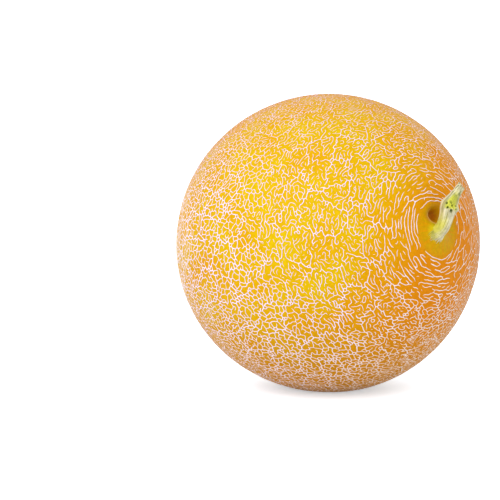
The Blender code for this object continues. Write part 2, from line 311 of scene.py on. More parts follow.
class Nodes:
    """Adds nodes to a tree and links them, so that each material reads as a few lines."""

    def __init__(self, tree):
        self.tree = tree

    def feed(self, socket, value):
        """Links a node's output to a socket, or sets the socket to a number or a colour."""
        if isinstance(value, bpy.types.NodeSocket):
            self.tree.links.new(value, socket)
        elif isinstance(value, (int, float)):
            socket.default_value = value
        else:
            socket.default_value = (*value, 1)

    def add(self, kind, inputs=None, **settings):
        node = self.tree.nodes.new(kind)
        for key, value in settings.items():
            setattr(node, key, value)
        for key, value in (inputs or {}).items():
            self.feed(node.inputs[key], value)
        return node

    def math(self, operation, first, second):
        return self.add("ShaderNodeMath", {0: first, 1: second}, operation=operation).outputs[0]

    def mix(self, share, first, second, blend="MIX"):
        inputs = {0: share, 6: first, 7: second}
        return self.add("ShaderNodeMix", inputs, data_type="RGBA", blend_type=blend).outputs[2]

    def attribute(self, name):
        return self.add("ShaderNodeAttribute", attribute_name=name).outputs["Fac"]

    def cover(self, colour, **layers):
        """Lays colours over a first one, each as far as the mesh's attribute of that name says."""
        for name, layer in layers.items():
            colour = self.mix(self.attribute(name), colour, layer)
        return colour

    def spread(self, value, low, high, to_low=0.0, to_high=1.0):
        inputs = {0: value, 1: low, 2: high, 3: to_low, 4: to_high}
        return self.add("ShaderNodeMapRange", inputs, clamp=True).outputs[0]

    def noise(self, places, scale, detail, rough):
        inputs = {"Vector": places, "Scale": scale, "Detail": detail, "Roughness": rough}
        return self.add("ShaderNodeTexNoise", inputs).outputs["Fac"]

    def for_camera(self, seen, others):
        """One value for what the camera sees, and another for the light that reaches other surfaces."""
        camera_ray = self.add("ShaderNodeLightPath").outputs["Is Camera Ray"]
        return self.spread(camera_ray, 0, 1, others, seen)


def mottle_group():
    """Shared colour and height variation: broad clouds, fine grain and both together, from object places."""
    if "mottle" in bpy.data.node_groups:
        return bpy.data.node_groups["mottle"]
    tree = bpy.data.node_groups.new("mottle", "ShaderNodeTree")
    for name, default in (("Cloud scale", 60.0), ("Grain scale", 900.0)):
        socket = tree.interface.new_socket(name, in_out="INPUT", socket_type="NodeSocketFloat")
        socket.default_value = default
    for name in ("Cloud", "Grain", "Both"):
        tree.interface.new_socket(name, in_out="OUTPUT", socket_type="NodeSocketFloat")
    nodes = Nodes(tree)
    inside = nodes.add("NodeGroupInput").outputs
    places = nodes.add("ShaderNodeTexCoord").outputs["Object"]
    cloud = nodes.spread(nodes.noise(places, inside["Cloud scale"], 2.0, 0.55), *NOISE_RANGE)
    grain = nodes.noise(places, inside["Grain scale"], 3.0, 0.6)
    both = nodes.add("ShaderNodeMix", {0: 0.5, 2: grain, 3: cloud}).outputs[0]
    nodes.add("NodeGroupOutput", {"Cloud": cloud, "Grain": grain, "Both": both})
    return tree


def new_material(name, cloud_scale, grain_scale):
    """A material with the helper that adds its nodes, its shader, and its own mottle."""
    material = bpy.data.materials.new(name)
    material.use_nodes = True
    nodes = Nodes(material.node_tree)
    shader = material.node_tree.nodes["Principled BSDF"]
    shader.inputs["Metallic"].default_value = 0
    scales = {"Cloud scale": cloud_scale, "Grain scale": grain_scale}
    mottle = nodes.add("ShaderNodeGroup", scales, node_tree=mottle_group()).outputs
    return material, nodes, shader, mottle


def finish(nodes, shader, colour, grain, shades, gloss, bump):
    """Feeds the shader: the colour with grain from dark to light, the roughness and the small bumps."""
    grain = nodes.spread(grain, *NOISE_RANGE, *shades)
    grey = nodes.add("ShaderNodeCombineColor", {0: grain, 1: grain, 2: grain}).outputs[0]
    nodes.feed(shader.inputs["Base Color"], nodes.mix(1.0, colour, grey, "MULTIPLY"))
    nodes.feed(shader.inputs["Roughness"], nodes.spread(gloss[0], *NOISE_RANGE, *gloss[1:]))
    height, strength, distance = bump
    bump = nodes.add("ShaderNodeBump", {"Height": height, "Strength": strength, "Distance": distance})
    nodes.feed(shader.inputs["Normal"], bump.outputs[0])


def skin_material(colours):
    material, nodes, shader, mottle = new_material("melon_skin", 55.0, 700.0)
    shader.inputs["Specular IOR Level"].default_value = 0.1
    # Painted light: the skin turns lemon where it faces the light, broken up by the clouds
    sunny = nodes.math("MULTIPLY", nodes.attribute("sunny"), nodes.spread(mottle["Cloud"], 0, 1, 0.45, 1))
    colour = nodes.mix(sunny, colours.gold, colours.lit_lemon)
    # Warmer orange towards the stem, and painted shade on the side away from the light
    colour = nodes.cover(colour, warm=colours.orange)
    colour = nodes.mix(nodes.math("MULTIPLY", mottle["Cloud"], 0.55), colour, colours.orange)
    # Painted shade: darker orange on the underside, and dark in the pit by the stem
    colour = nodes.cover(colour, ground=colours.underside_shade, bare=colours.olive, web=colours.lime,
                         pit=colours.pit, fold=colours.fold, scar=colours.scar)
    finish(nodes, shader, colour, mottle["Grain"], (0.9, 1.08), gloss=(mottle["Both"], 0.36, 0.52),
           bump=(mottle["Grain"], 0.25, 0.0002))
    return material


def net_material(colours):
    material, nodes, shader, mottle = new_material("melon_net", 90.0, 1500.0)
    shader.inputs["Specular IOR Level"].default_value = 0.05
    # Painted light: line sides turn buff where they face the key light
    side = nodes.cover(colours.tan, pale=colours.buff)
    # Ivory tops: towards the stem, and painted shade on the side away from the light
    top = nodes.cover(colours.cream, warm=colours.ivory)
    # Sides and feet of the lines in tan, partly painted shade where they meet the skin; tops in cream
    colour = nodes.mix(nodes.spread(nodes.attribute("rise"), *NET_SIDES), side, top)
    colour = nodes.mix(nodes.math("MULTIPLY", mottle["Cloud"], 0.10), colour, colours.tan)
    # Painted shade on the underside: the lines turn towards buff
    colour = nodes.mix(nodes.math("MULTIPLY", nodes.attribute("ground"), 0.20), colour, colours.buff)
    finish(nodes, shader, colour, mottle["Grain"], (0.88, 1.06), gloss=(mottle["Both"], 0.7, 0.9),
           bump=(mottle["Grain"], 0.4, 0.0001))
    return material


def stem_material(colours):
    material, nodes, shader, mottle = new_material("melon_stem", 260.0, 2200.0)
    shader.inputs["Sheen Weight"].default_value = 0.1
    colour = nodes.cover(colours.groove, rib=colours.bark, foot=colours.lime, core=colours.core,
                         hole=colours.dark)
    finish(nodes, shader, colour, mottle["Both"], (0.78, 1.12), gloss=(mottle["Both"], 0.55, 0.85),
           bump=(mottle["Grain"], 0.5, 0.0002))
    return material


# Skin

SKIN_SEGMENTS = 320
SKIN_RINGS = 250
RING_SAMPLES = 2000
# How much closer the rings are at each end, and within which angle
STEM_CROWD = (3.4, 0.24)
BUTTON_CROWD = (2.0, 0.09)
# Direction and range of the warm colour and painted shade: towards the stem, away from the key light and down
WARM_AND_SHADE_SIDE = (0.619, 0.528, -0.322)
WARM_AND_SHADE_RANGE = (0.06, 0.68)
# Direction and range of the painted light on the skin, between the key light and the camera
PAINTED_LIGHT_SIDE = (0.381, -0.800, 0.464)
PAINTED_LIGHT_RANGE = (0.55, 0.97)
# Range of the painted shade on the underside, by how far a place faces down
UNDERSIDE_SHADE_RANGE = (0.25, 0.95)
NEAR_STEM = 0.03
# Noise round the stem and outwards from it
STREAK_SCALES = (12, 70)
STREAK_REACH = 0.003
BARE_RANGE = (0.0105, 0.0165)
BARE_SHARE = (0.85, 0.9)
BLOTCH_SIZE = 0.016
BLOTCH_REACH = 0.18
# Reach and strength of the painted shade in the pit
PIT_SHADE_RANGE = (0.35, 1.30)
PIT_SHADE_SHARE = (0.92, 0.4)
WEB_RANGE = (0.55, 1.45)
WEB_SHARE = 0.8
FOLD_SHARE = (1.3, 0.9)
SCAR_WIDTH = 0.0012
SCAR_SHARE = (0.6, 0.85)


def ring_angles(count):
    """Angles from the stem end of the skin's rings, closest together at the stem and the blossom end."""
    angles = np.linspace(0, math.pi, RING_SAMPLES)
    crowd = 1.0
    for (more, reach), away in ((STEM_CROWD, angles), (BUTTON_CROWD, math.pi - angles)):
        crowd = crowd + more * np.exp(-((away / reach) ** 4))
    run = np.concatenate([[0], np.cumsum((crowd[1:] + crowd[:-1]) / 2)])
    return np.interp(np.linspace(0, run[-1], count), run, angles)


def warm_share(normals):
    """How warm and shaded a place's colours are: most towards the stem and the ground, and on the side turned
    away from the key light, where it is painted shade.
    """
    return smoothstep(*WARM_AND_SHADE_RANGE, normals @ np.array(WARM_AND_SHADE_SIDE))


def underside_shade_share(normals):
    """How much painted shade a place gets for facing down."""
    return smoothstep(*UNDERSIDE_SHADE_RANGE, -normals[:, 2])


class MELON_OT_skin(bpy.types.Operator):
    """Adds the skin: a dense ball drawn into the fruit's form, with hollow, pit, button and rest spot."""

    bl_idname = "melon.skin"
    bl_label = "Skin"

    def execute(self, context):
        sizes, colours = context.scene.melon_sizes, context.scene.melon_colours
        body = Body(sizes)
        skin, level, turn = add_ball("melon_skin", SKIN_SEGMENTS, SKIN_RINGS)
        angle = np.interp(level, np.linspace(0, 1, SKIN_RINGS + 1), ring_angles(SKIN_RINGS + 1))
        ways = unit_ways(angle, turn)
        write_points(skin.data, body.skin(ways))
        self.paint_masks(skin.data, body, ways)
        skin.data.materials.append(skin_material(colours))
        skin.data.shade_smooth()
        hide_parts("fruit")
        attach(skin, "root")
        return {"FINISHED"}

    def paint_masks(self, mesh, body, ways):
        """Stores where the skin has painted light, warm colour and painted shade, painted shade below, bare
        skin, green, painted shade in the pit, a fold or a scar.
        """
        stem_side = ways[:, 2] > 0
        x, y = ways[:, 0] * body.radius, ways[:, 1] * body.radius
        out, turn = np.hypot(x, y), np.arctan2(y, x)
        normals = body.normals(ways)
        near = (out < NEAR_STEM) & stem_side
        streaks, blotches = np.zeros(len(out)), np.zeros(len(out))
        across = np.column_stack([np.cos(turn), np.sin(turn)])[near] * STREAK_SCALES[0]
        streaks[near] = rough_noise(np.column_stack([across, out[near] * STREAK_SCALES[1]]), 6)
        blotches[near] = rough_noise(ways[near], 8, BLOTCH_SIZE)
        bare = fade(*BARE_RANGE, out + STREAK_REACH * streaks) * (BARE_SHARE[0] + BARE_SHARE[1] * streaks)
        reach, _ = body.pit_reach(x, y)
        # Painted shade in the pit, uneven with the blotches
        pit = fade(*PIT_SHADE_RANGE, reach + BLOTCH_REACH * blotches)
        pit = pit * (PIT_SHADE_SHARE[0] + PIT_SHADE_SHARE[1] * np.minimum(blotches, 0))
        web = fade(*WEB_RANGE, apart(x, y, WEB_PLACE) / WEB_RADIUS) * WEB_SHARE
        fold = np.clip(body.fold(x, y) * FOLD_SHARE[0], 0, 1) * FOLD_SHARE[1]
        scar = hill((out - BUTTON_RADIUS) / SCAR_WIDTH) + SCAR_SHARE[0] * (out < BUTTON_RADIUS)
        # These masks hold painted light on the lit side, painted shade on the far side, the underside and the
        # pit, and the skin's own colours
        paint(mesh, warm=warm_share(normals), ground=underside_shade_share(normals),
              sunny=smoothstep(*PAINTED_LIGHT_RANGE, normals @ np.array(PAINTED_LIGHT_SIDE)),
              bare=np.where(near, np.clip(bare, 0, 1), 0),
              pit=np.where(stem_side, pit, 0), web=np.where(stem_side, web, 0),
              fold=np.where(stem_side, fold, 0),
              scar=np.where(stem_side, 0, np.clip(scar, 0, 1)) * SCAR_SHARE[1])


# Net: its cells, the lines between them, and the raised mesh of the lines

RING_STRETCH = 2.45
WIDE_STRETCH = 1.3
FAR_STRETCH = 0.9
RING_RANGE = (math.radians(12), math.radians(34))
WIDE_RANGE = (math.radians(60), math.radians(105))
RING_WIDER = 0.85
CHART_EDGE = 0.02
CHART_SAMPLES = 6000
DART_ROUNDS = 9
DART_REACH = (-2, -1, 0, 1, 2)
BARE_RING = 0.55
FIRST_DARTS = 0.35
LAST_DARTS = 1.2
BUTTON_RING = 0.0046
BUTTON_RING_CELLS = 9


def ringed_share(angle):
    """1 in the ringed zone round the stem, fading to 0 further out."""
    return fade(*RING_RANGE, angle)


class Chart:
    """A flat map of the fruit that evens out the net's cells: level against angle from the stem end."""

    def __init__(self, body, sizes):
        self.gap = sizes.line_gap / body.radius
        self.angles = np.linspace(CHART_EDGE, math.pi - CHART_EDGE, CHART_SAMPLES)
        slope = self.stretch(self.angles) / np.sin(self.angles)
        steps = (slope[1:] + slope[:-1]) / 2 * np.diff(self.angles)
        self.levels = np.concatenate([[0.0], np.cumsum(steps)])
        self.levels -= np.interp(math.pi / 2, self.angles, self.levels)

    def stretch(self, angle):
        """How many times wider than high the cells are drawn."""
        near = FAR_STRETCH + (WIDE_STRETCH - FAR_STRETCH) * fade(*WIDE_RANGE, angle)
        return near + (RING_STRETCH - WIDE_STRETCH) * ringed_share(angle)

    def level(self, angle):
        return float(np.interp(angle, self.angles, self.levels))

    def angle(self, level):
        return np.interp(level, self.levels, self.angles)

    def spacing(self, level, gap):
        """Least distance between cells on the chart, for a gap on the fruit given as an angle."""
        angle = self.angle(level)
        return gap * (1 + RING_WIDER * ringed_share(angle)) * np.sqrt(self.stretch(angle)) / np.sin(angle)


def scatter(chart, low, high, gap, rng):
    """Darts on the chart between two levels. Each round throws one into every empty square, and keeps
    those that land clear of the kept ones and of the round's stronger ones."""
    rows = []
    level = low
    while level < high:
        side = float(chart.spacing(level, gap)) / math.sqrt(2)
        rows.append((level, side, max(3, math.ceil(2 * math.pi / side))))
        level += side
    levels, sides, counts = (np.array(column) for column in zip(*rows))
    offsets = np.concatenate([[0], np.cumsum(counts)])
    row_of = np.repeat(np.arange(len(rows)), counts)
    kept = np.full((offsets[-1], 2), np.nan)
    for _ in range(DART_ROUNDS):
        empty = np.flatnonzero(np.isnan(kept[:, 0]))
        row = row_of[empty]
        throw = rng.random((len(empty), 3))
        place = levels[row] + sides[row] * throw[:, 0]
        turn = 2 * math.pi * (empty - offsets[row] + throw[:, 1]) / counts[row]
        tried = np.full((offsets[-1], 3), np.nan)
        tried[empty] = np.column_stack([place, turn, throw[:, 2]])
        clear = np.ones(len(empty), bool)
        for near_row in DART_REACH:
            near = np.clip(row + near_row, 0, len(rows) - 1)
            column = np.floor(turn / (2 * math.pi) * counts[near]).astype(int)
            for step in DART_REACH:
                slot = offsets[near] + np.mod(column + step, counts[near])
                for darts in (kept, tried):
                    around = np.abs(darts[slot, 1] - turn)
                    around = np.minimum(around, 2 * math.pi - around)
                    close = (darts[slot, 0] - place) ** 2 + around**2 < 2 * sides[row] ** 2
                    if darts is tried:
                        close &= darts[slot, 2] > throw[:, 2]
                    clear &= ~close
        kept[empty[clear]] = tried[empty[clear], :2]
    return kept[~np.isnan(kept[:, 0])]


def cell_middles(body, chart, rng):
    """Level and turn of each cell's middle: a ring inside the bare patch, a ring by the button, and darts."""
    wider = chart.gap * (1 + RING_WIDER)
    ringed_gap = wider / math.sqrt(RING_STRETCH)
    inner = body.bare_angle - BARE_RING * ringed_gap
    around = round(2 * math.pi * math.sin(inner) / (wider * math.sqrt(RING_STRETCH)))
    button = math.pi - BUTTON_RING / body.radius
    rings = [(chart.level(angle), 2 * math.pi * k / count)
             for angle, count in ((inner, around), (button, BUTTON_RING_CELLS)) for k in range(count)]
    low = chart.level(body.bare_angle + FIRST_DARTS * ringed_gap)
    high = chart.level(button - LAST_DARTS * chart.gap)
    return np.concatenate([np.array(rings), scatter(chart, low, high, chart.gap, rng)])


def sides_of(corners):
    """The sides of triangles, as sorted pairs: the first side of each, then the second, then the third."""
    sides = np.concatenate([corners[:, [0, 1]], corners[:, [1, 2]], corners[:, [2, 0]]])
    sides.sort(axis=1)
    return sides


def triangles_between(places):
    """Triangles between the cell middles, closed over both ends of the fruit."""
    radii = np.exp(places[:, 0])
    flat = [Vector((x, y)) for x, y in zip(radii * np.cos(places[:, 1]), radii * np.sin(places[:, 1]))]
    flat.append(Vector((0, 0)))
    _, _, faces, sources, _, _ = delaunay_2d_cdt(flat, [], [], 0, 1e-12)
    corners = np.array([[sources[corner][0] for corner in face] for face in faces])
    single, counts = np.unique(sides_of(corners), axis=0, return_counts=True)
    rim = single[counts == 1]
    last = np.full((len(rim), 1), len(flat))
    return np.concatenate([corners, np.hstack([rim, last])])


def dual_edges(corners):
    """Pairs of triangles that share a side, and the two cells on either side of each pair."""
    sides = sides_of(corners)
    owner = np.tile(np.arange(len(corners)), 3)
    order = np.lexsort((sides[:, 1], sides[:, 0]))
    sides, owner = sides[order], owner[order]
    return np.column_stack([owner[0::2], owner[1::2]]), sides[0::2]


def group_walls(chart, places, cells, gap, rng):
    """Which lines lie between two larger cells, for larger cells with a given gap between them."""
    larger = scatter(chart, places[:, 0].min(), places[:, 0].max(), gap, rng)
    tree = kdtree.KDTree(len(larger))
    for k, (level, turn) in enumerate(larger):
        tree.insert((level, math.cos(turn), math.sin(turn)), k)
    tree.balance()
    group = [tree.find((level, math.cos(turn), math.sin(turn)))[1] for level, turn in places]
    group = np.array(group + [-1, -2])
    return group[cells[:, 0]] != group[cells[:, 1]]


# In pairs of shares, the second is for the ringed zone, or for lines there that run away from the stem
CLOSED_ANGLES = (0.9, 1.5)
CLOSED_BELOW = 0.70
CLOSED_SIDE = (0.08, 0.35)
CLOSED_SIDE_SHARE = 1.2
CLOSED_NOISE = 0.9
CLOSED_NOISE_SIZE = 0.3
CLOSED_OVER = 0.42
OPEN_RING = 0.3
RING_OPEN_TO = 0.12
MAIN_RADIAL = 0.55
MAIN_RINGED = 0.35
RADIAL_FIRST = (0.35, 1.45)
WALL_LAST = 0.5
BEND_SHARE = (0.66, 0.24)
CUT_CLOSED = 0.06
CUT_OPEN = 0.22
CUT_RINGED = (0.17, 0.42)
CUT_RADIAL = 0.75
CUT_MAIN = 0.4
CUT_MAIN_RINGED = 0.1
CUT_MAIN_OVER = 0.5
LONELY_LENGTH = 0.012
FORK_SHARE = 0.3


def closed_share(ways):
    """How closed the net is: more far from the stem, on the underside and on the side that y points to."""
    share = smoothstep(*CLOSED_ANGLES, stem_angle(ways))
    share = share + CLOSED_BELOW * np.maximum(ways[:, 0], 0.5 * ways[:, 0])
    share = share + CLOSED_SIDE_SHARE * smoothstep(*CLOSED_SIDE, ways[:, 1])
    return share + CLOSED_NOISE * rough_noise(ways, 3, CLOSED_NOISE_SIZE)


def thin_out(edges, main, wall, ways, rng):
    """Takes out lines: in closed net all but the cell walls and the main lines, and in open net enough for
    most junctions to become bends, first those that run away from the stem. Some of the rest are cut."""
    angle = stem_angle(ways)[edges]
    first, second = ways[edges[:, 0]], ways[edges[:, 1]]
    middle = (first + second) / 2
    length = np.linalg.norm(first - second, axis=1)
    radial = np.abs(angle[:, 0] - angle[:, 1]) / np.maximum(length, 1e-9)
    ringed = ringed_share((angle[:, 0] + angle[:, 1]) / 2)
    main = main & ~((radial > MAIN_RADIAL) & (ringed > MAIN_RINGED))
    closed = (closed_share(middle) > CLOSED_OVER) & ((ringed < OPEN_RING) | (middle[:, 1] > RING_OPEN_TO))
    keep = ~closed | wall | main
    degree = np.bincount(edges[keep].ravel(), minlength=len(ways))
    early = (RADIAL_FIRST[0] + RADIAL_FIRST[1] * ringed) * radial
    order = np.argsort(rng.random(len(edges)) - early + WALL_LAST * wall)
    bend_share = BEND_SHARE[0] + BEND_SHARE[1] * ringed * radial
    draws = rng.random(len(edges))
    for edge in order:
        if closed[edge] or main[edge] or draws[edge] > bend_share[edge] or min(degree[edges[edge]]) < 3:
            continue
        keep[edge] = False
        degree[edges[edge]] -= 1
    plain_cut = np.where(closed, CUT_CLOSED, CUT_OPEN) * (1 - ringed)
    cut_share = plain_cut + ringed * (CUT_RINGED[0] + CUT_RINGED[1] * (radial > CUT_RADIAL))
    keep &= rng.random(len(edges)) > cut_share * np.where(main, CUT_MAIN, 1)
    keep &= ~(main & (ringed > CUT_MAIN_OVER) & (rng.random(len(edges)) < CUT_MAIN_RINGED))
    degree = np.bincount(edges[keep].ravel(), minlength=len(ways))[edges]
    return keep & ~((degree == 1).all(axis=1) & (length < LONELY_LENGTH)), main


def soften(ways, edges, share):
    """Draws bends and, less, forks towards the middle of their neighbours, so that lines run smoothly."""
    degree = np.bincount(edges.ravel(), minlength=len(ways))
    total = np.zeros_like(ways)
    np.add.at(total, edges[:, 0], ways[edges[:, 1]])
    np.add.at(total, edges[:, 1], ways[edges[:, 0]])
    for joined, part in ((2, share), (3, FORK_SHARE * share)):
        here = degree == joined
        ways[here] += part * (total[here] / joined - ways[here])
    return unit(ways)


PLAIN_RADIUS = 0.0115
PLAIN_FADE = 0.01
PLAIN_RISE = 0.25
BARE_EDGE = 0.93
BUTTON_EDGE = 0.6
FIRST_SOFTENING = 0.4
LAST_SOFTENING = 0.3
LONG_LINE = 0.0014
WAVER = 0.09
BROAD_SIZE = 0.12
# How much broad and fine noise change the lines
RISE_VARIES = (0.18, 0.14)
RISE_LIMITS = (0.6, 1.25)
WIDTH_VARIES = (0.16, 0.16)
WIDTH_LIMITS = (0.65, 1.4)
BOLD_ANGLES = (1.1, 1.7)
BOLD_BELOW = 0.80
BOLD_SIDE = 0.4
BOLD_RANGE = (0.0, 0.8)
BOLD_WIDER = 0.40
RINGS_BOLDER = 0.36
THIN_ABOVE = (0.30, 0.85)
THINNER = 0.13


class Net:
    """The net as points on the fruit and lines between them, with a width and rise at each point."""

    def __init__(self, body, sizes):
        rng = np.random.default_rng(sizes.seed)
        chart = Chart(body, sizes)
        places = cell_middles(body, chart, rng)
        corners = triangles_between(places)
        middles = unit_ways(chart.angle(places[:, 0]), places[:, 1])
        middles = np.concatenate([middles, [[0, 0, 1], [0, 0, -1]]])
        ways = unit(middles[corners].mean(axis=1))
        edges, cells = dual_edges(corners)
        wall = group_walls(chart, places, cells, sizes.cell_gap / body.radius, rng)
        main = group_walls(chart, places, cells, sizes.patch_gap / body.radius, rng)
        angle = stem_angle(ways)
        gone = angle < body.bare_angle * BARE_EDGE
        gone |= angle > math.pi - BUTTON_EDGE * BUTTON_RING / body.radius
        gone |= np.linalg.norm(body.skin(ways), axis=1) < PLAIN_RADIUS
        held = ~gone[edges].any(axis=1)
        edges, main, wall = edges[held], main[held], wall[held]
        keep, main = thin_out(edges, main, wall, ways, rng)
        edges, main = edges[keep], main[keep]
        ways = soften(ways, edges, FIRST_SOFTENING)
        self.build(body, sizes, ways, edges, main, rng)

    def build(self, body, sizes, ways, edges, main, rng):
        """Adds a point in the middle of each long line, softens again and sets widths and rises."""
        start, end = ways[edges[:, 0]], ways[edges[:, 1]]
        length = np.linalg.norm(start - end, axis=1)
        long = length > LONG_LINE / body.radius
        middles = unit(start[long] + end[long])
        middles += rng.normal(0, 1, middles.shape) * (WAVER * length[long])[:, None]
        new = len(ways) + np.arange(len(middles))
        halves = [np.column_stack([edges[long, 0], new]), np.column_stack([new, edges[long, 1]])]
        edges = np.concatenate([edges[~long], *halves])
        main = np.concatenate([main[~long], main[long], main[long]])
        ways = soften(np.concatenate([ways, middles]), edges, LAST_SOFTENING)
        used, flat = np.unique(edges, return_inverse=True)
        self.ways, self.edges = ways[used], flat.reshape(-1, 2)
        self.points = body.skin(self.ways)
        self.normals = body.normals(self.ways)
        strong = np.zeros(len(used))
        np.maximum.at(strong, self.edges.ravel(), np.repeat(main.astype(float), 2))
        vary = [rough_noise(self.ways, 1, BROAD_SIZE), rng.uniform(-1, 1, len(used))]
        low = smoothstep(PLAIN_RADIUS, PLAIN_RADIUS + PLAIN_FADE, np.linalg.norm(self.points, axis=1))
        rise = sizes.fine_rise + (sizes.line_rise - sizes.fine_rise) * strong
        self.rise = rise * varied(vary, RISE_VARIES, RISE_LIMITS) * (PLAIN_RISE + (1 - PLAIN_RISE) * low)
        width = sizes.fine_width + (sizes.line_width - sizes.fine_width) * strong
        width = width * self.boldness()
        self.width = width / 2 * varied(vary, WIDTH_VARIES, WIDTH_LIMITS)

    def boldness(self):
        """How wide lines are: wider in the rings, far from the stem, below and beside it, thinner above."""
        angle = stem_angle(self.ways)
        bold = smoothstep(*BOLD_ANGLES, angle) + BOLD_BELOW * self.ways[:, 0]
        bold = smoothstep(*BOLD_RANGE, bold + BOLD_SIDE * np.maximum(self.ways[:, 1], 0))
        above = smoothstep(*THIN_ABOVE, -self.ways[:, 0])
        return (1 + RINGS_BOLDER * ringed_share(angle) + BOLD_WIDER * bold) * (1 - THINNER * above)


def varied(vary, shares, limits):
    """A factor about 1 that varies from point to point, within limits."""
    return np.clip(1 + shares[0] * vary[0] + shares[1] * vary[1], *limits)


SINK = 0.00018
TOP_SHARE = 0.76
FOOT_SHARE = 1.45
END_RISE = 0.3
END_WIDTH = 0.5
SHARPEST = 0.55
# Direction and range of the painted light on the line sides, towards the key light
LIT_SIDE = (-0.719, -0.695, 0.0)
LIT_SIDE_RANGE = (0.8, 1.0)
STEM_NET_ANGLE = math.radians(62)
NET_SECTORS = 4


def tangent_axes(normals):
    """Two axes along the skin at each point."""
    helper = np.where(np.abs(normals[:, 2:3]) < 0.9, [[0.0, 0.0, 1.0]], [[1.0, 0.0, 0.0]])
    first = unit(np.cross(helper, normals))
    return first, np.cross(normals, first)


def ridge_mesh(net, chosen, degree_all):
    """Points, faces and heights of the closed mesh of the chosen lines. Each line is a flat-topped bar with
    its foot under the skin, and its corners are shared with the bars that it meets."""
    used, flat = np.unique(net.edges[chosen], return_inverse=True)
    edges = flat.reshape(-1, 2)
    points, normals = net.points[used], net.normals[used]
    rise, width = net.rise[used].copy(), net.width[used].copy()
    degree = np.bincount(edges.ravel(), minlength=len(used))
    loose = (degree == 1) & (degree_all[used] == 1)
    rise[loose] *= END_RISE
    width[loose] *= END_WIDTH
    first, second = tangent_axes(normals)
    start = np.concatenate([edges[:, 0], edges[:, 1]])
    end = np.concatenate([edges[:, 1], edges[:, 0]])
    run = points[end] - points[start]
    bearing = np.arctan2((run * second[start]).sum(1), (run * first[start]).sum(1))
    order = np.lexsort((bearing, start))
    start, bearing = start[order], bearing[order]
    index = np.arange(len(order))
    place = np.empty(len(order), int)
    place[order] = index
    begins = np.concatenate([[0], np.cumsum(degree)])
    following = np.where(index + 1 < begins[start + 1], index + 1, begins[start])
    opening = np.mod(bearing[following] - bearing, 2 * np.pi)
    alone = degree[start] == 1
    opening[alone] = np.pi
    owner = np.concatenate([start, start[alone]])
    heading = np.concatenate([bearing + opening / 2, bearing[alone] - np.pi / 2])[:, None]
    widen = 1 / np.maximum(np.sin(np.concatenate([opening, opening[alone]]) / 2), SHARPEST)
    aside = np.cos(heading) * first[owner] + np.sin(heading) * second[owner]
    foot, top = width * FOOT_SHARE, width[owner] * TOP_SHARE
    base = points[owner] + aside * (widen * foot[owner])[:, None] - normals[owner] * SINK
    top = points[owner] + aside * (widen * top)[:, None] + normals[owner] * rise[owner, None]
    count = len(owner)
    left, right = index, np.empty(len(order), int)
    right[following] = left
    right[alone] = len(order) + np.arange(alone.sum())
    here, there = place[: len(edges)], place[len(edges):]
    near_left, near_right, far_left, far_right = left[here], right[here], left[there], right[there]
    quads = np.concatenate([
        np.column_stack([near_left, near_left + count, far_right + count, far_right]),
        np.column_stack([near_left, near_right, far_left, far_right]) + count,
        np.column_stack([near_right + count, near_right, far_left, far_left + count]),
        np.column_stack([near_left, far_right, far_left, near_right]),
        np.column_stack([left, right, right + count, left + count])[alone],
    ])
    hub = begins[np.flatnonzero(degree == 3)]
    hubs = np.concatenate([np.column_stack([hub + 2, hub + 1, hub]),
                           np.column_stack([hub, hub + 1, hub + 2]) + count])
    vertices = np.concatenate([base, top])
    vertices[:, 2] = np.maximum(vertices[:, 2], 0.0)
    return vertices, quads, hubs, np.repeat([0.0, 1.0], count)


class MELON_OT_net(bpy.types.Operator):
    """Adds the cork net: lines between scattered cells, raised over the skin in five closed meshes."""

    bl_idname = "melon.net"
    bl_label = "Net"

    def execute(self, context):
        sizes, colours = context.scene.melon_sizes, context.scene.melon_colours
        body = Body(sizes)
        net = Net(body, sizes)
        degree = np.bincount(net.edges.ravel(), minlength=len(net.ways))
        middle = (net.ways[net.edges[:, 0]] + net.ways[net.edges[:, 1]]) / 2
        turn = np.mod(np.arctan2(middle[:, 1], middle[:, 0]), 2 * np.pi)
        sector = (turn / (2 * np.pi) * NET_SECTORS).astype(int)
        sector[stem_angle(middle) < STEM_NET_ANGLE] = NET_SECTORS
        material = net_material(colours)
        names = ["melon_net_%d" % (part + 1) for part in range(NET_SECTORS)] + ["melon_net_stem_end"]
        for part, name in enumerate(names):
            vertices, quads, triangles, heights = ridge_mesh(net, sector == part, degree)
            piece = add_piece(name, vertices, quads, triangles, material)
            normals = body.normals_at(vertices)
            # The masks after rise hold painted shade below and away from the light, and painted light on the
            # lit side
            paint(piece.data, rise=heights, ground=underside_shade_share(normals), warm=warm_share(normals),
                  pale=smoothstep(*LIT_SIDE_RANGE, normals @ np.array(LIT_SIDE)))
            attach(piece, "root")
        return {"FINISHED"}


# Stem

# Outwards from the fruit's end, upwards, sideways, and the radius
STEM_ROUTE = (
    (-0.0056, -0.0040, -0.0056, 0.0026),
    (-0.0036, -0.0034, -0.0048, 0.0030),
    (-0.0015, -0.0022, -0.0037, 0.0032),
    (0.0006, -0.0008, -0.0025, 0.0033),
    (0.0025, 0.0010, -0.0016, 0.0033),
    (0.0040, 0.0037, -0.0008, 0.0034),
    (0.0050, 0.0069, 0.0003, 0.0036),
    (0.0058, 0.0106, 0.0017, 0.0042),
    (0.0069, 0.0134, 0.0031, 0.0034),
    (0.0086, 0.0162, 0.0045, 0.0024),
    (0.0108, 0.0197, 0.0067, 0.0020),
)
STEM_SEGMENTS = 128
STEM_RINGS = 180
STEM_CAPS = (0, 0.02, 0.95, 1)
STEM_END = 0.985
STEM_STEP = 0.01
SIDEWAYS = (0.0, -1.0, 0.0)
# Noise round the stem and along it
GRAIN_SCALES = (2.2, 5)
FIBRE_SCALES = (11, 4)
SPOT_SCALES = (2.6, 26)
TIP_GRAIN = 0.6
RIBS = 13
KNOB_RANGE = (0.645, 0.685)
